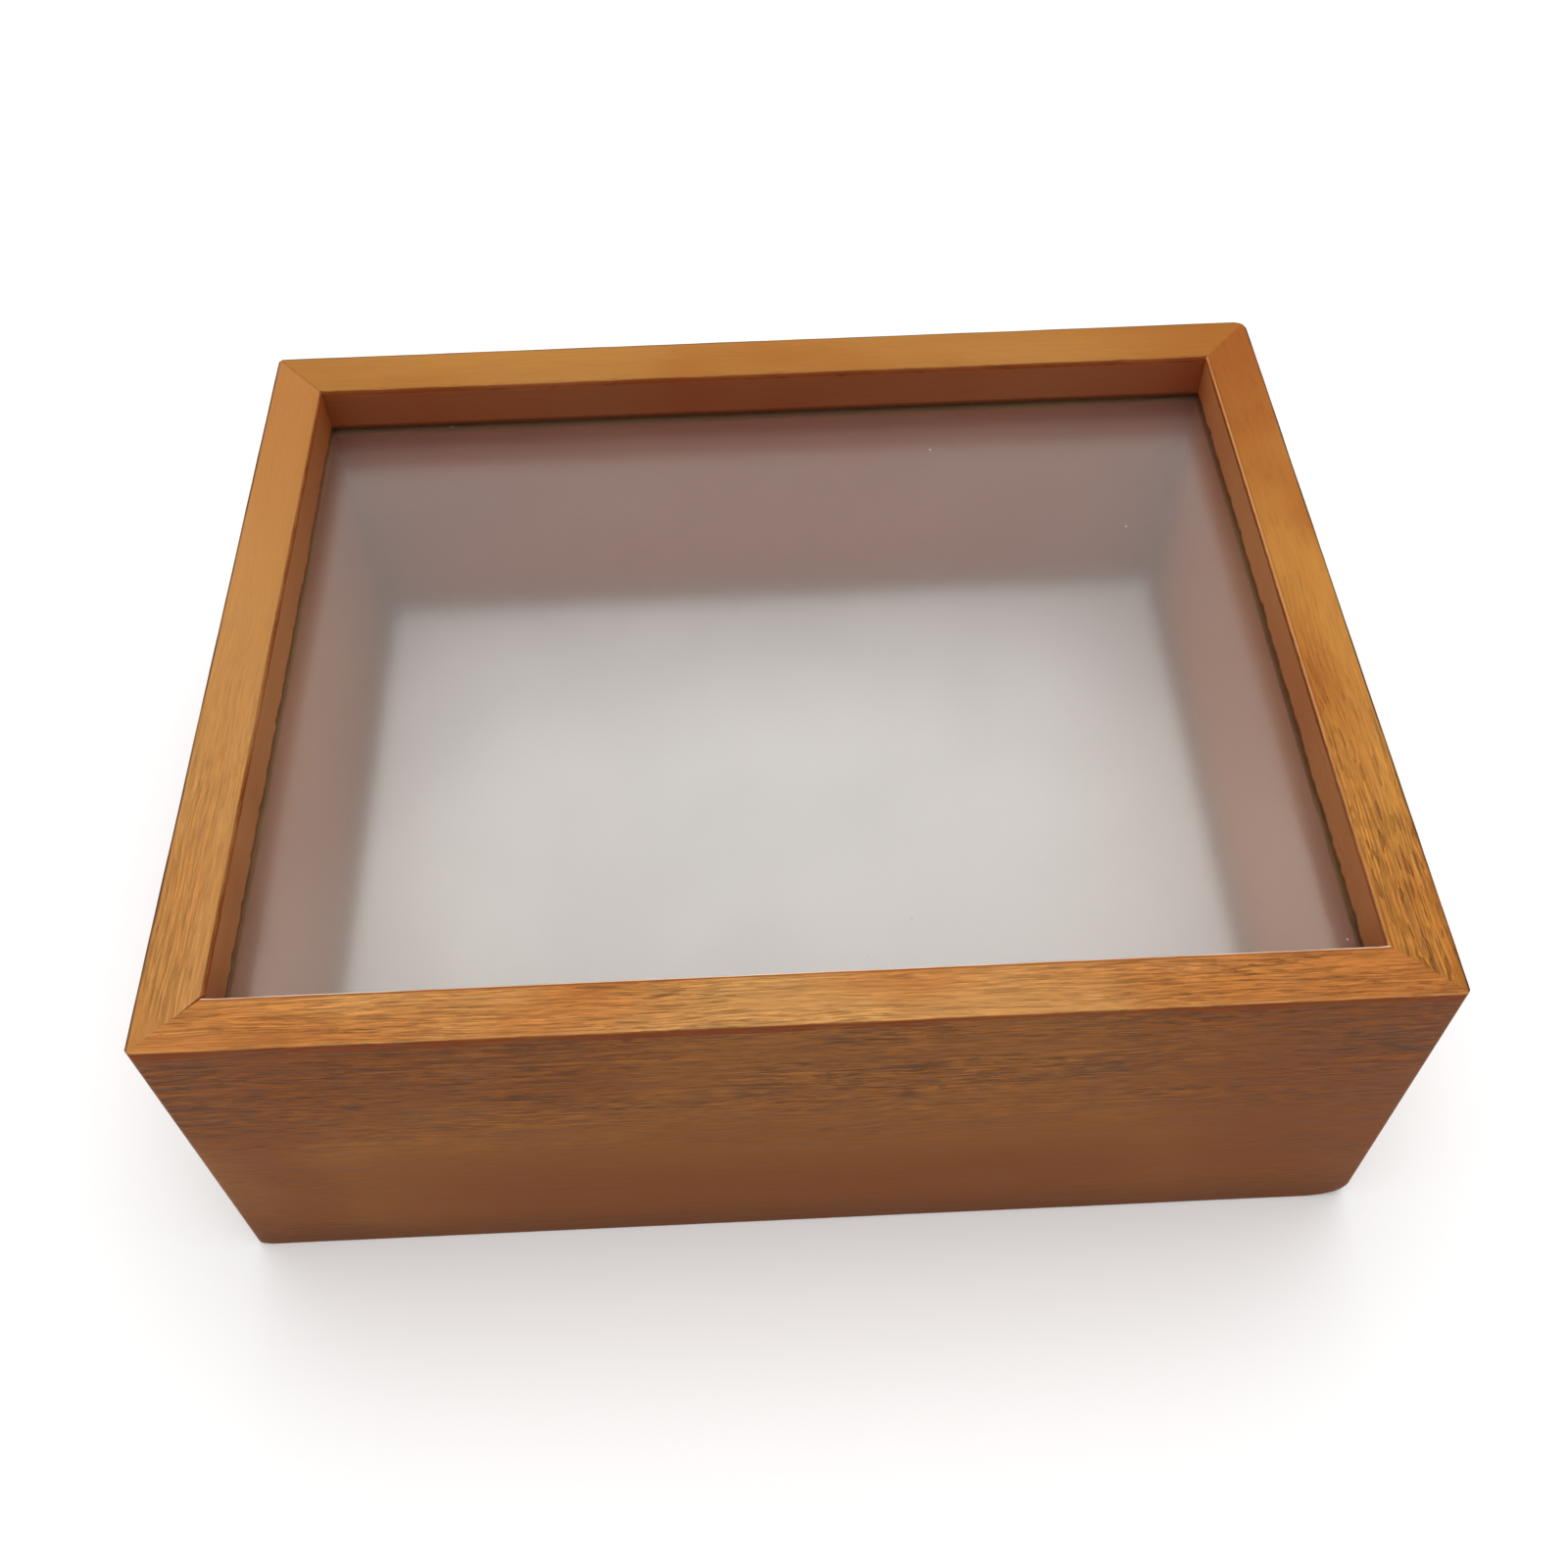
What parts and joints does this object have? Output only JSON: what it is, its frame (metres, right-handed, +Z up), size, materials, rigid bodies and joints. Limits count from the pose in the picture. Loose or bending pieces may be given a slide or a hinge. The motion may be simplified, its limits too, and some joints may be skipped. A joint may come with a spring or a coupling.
{
  "type": "butterfly display case",
  "caption": "Shallow rectangular wooden box with mitred corners, a clear panel set below its rim, and a white pinning bed on a removable back with turn buttons and a hanging ring.",
  "frame": {"origin": "centre of the base, where the four walls stand", "axes": "+X along the long walls, +Y from the front wall to the rear wall, +Z up out of the rim"},
  "size_m": [0.2, 0.16, 0.0739],
  "materials": {
    "wood": "satin",
    "acrylic": "gloss",
    "film": "satin",
    "fibreboard": "matte",
    "foam": "matte",
    "zinc_steel": "satin",
    "nail_steel": "satin",
    "rivet_brass": "satin"
  },
  "bodies": {
    "back": {"back_board": "fibreboard", "foam_bed": "foam", "hanger_strap": "zinc_steel", "hanger_rivet_front": "rivet_brass", "hanger_rivet_rear": "rivet_brass", "button_rivet_front_left": "rivet_brass", "button_rivet_front_right": "rivet_brass", "button_rivet_rear_left": "rivet_brass", "button_rivet_rear_right": "rivet_brass"},
    "glazed_frame": {"front_wall": "wood", "right_wall": "wood", "rear_wall": "wood", "left_wall": "wood", "inner_film": "film", "clear_panel": "acrylic", "outer_film": "film", "mitre_nail_front_left": "nail_steel", "mitre_nail_front_right": "nail_steel", "mitre_nail_rear_left": "nail_steel", "mitre_nail_rear_right": "nail_steel"},
    "front_left_button": {"turn_button_front_left": "zinc_steel"},
    "front_right_button": {"turn_button_front_right": "zinc_steel"},
    "rear_left_button": {"turn_button_rear_left": "zinc_steel"},
    "rear_right_button": {"turn_button_rear_right": "zinc_steel"},
    "ring": {"hanger_ring": "zinc_steel"}
  },
  "joints": [
    {"name": "frame_lift", "type": "slide", "parent": "back", "child": "glazed_frame", "axis": [0, 0, 1], "range_m": [0, 0.09]},
    {"name": "front_left_button_turn", "type": "hinge", "parent": "back", "child": "front_left_button", "pos_m": [-0.06, -0.0613, 0.0034], "axis": [0, 0, -1], "range_deg": [0, 90]},
    {"name": "front_right_button_turn", "type": "hinge", "parent": "back", "child": "front_right_button", "pos_m": [0.06, -0.0613, 0.0034], "axis": [0, 0, 1], "range_deg": [0, 90]},
    {"name": "rear_left_button_turn", "type": "hinge", "parent": "back", "child": "rear_left_button", "pos_m": [-0.06, 0.0613, 0.0034], "axis": [0, 0, 1], "range_deg": [0, 90]},
    {"name": "rear_right_button_turn", "type": "hinge", "parent": "back", "child": "rear_right_button", "pos_m": [0.06, 0.0613, 0.0034], "axis": [0, 0, -1], "range_deg": [0, 90]},
    {"name": "hanger_ring_swing", "type": "hinge", "parent": "back", "child": "ring", "pos_m": [0, 0.0593, 0.00234], "axis": [-1, 0, 0], "range_deg": [0, 150]}
  ]
}
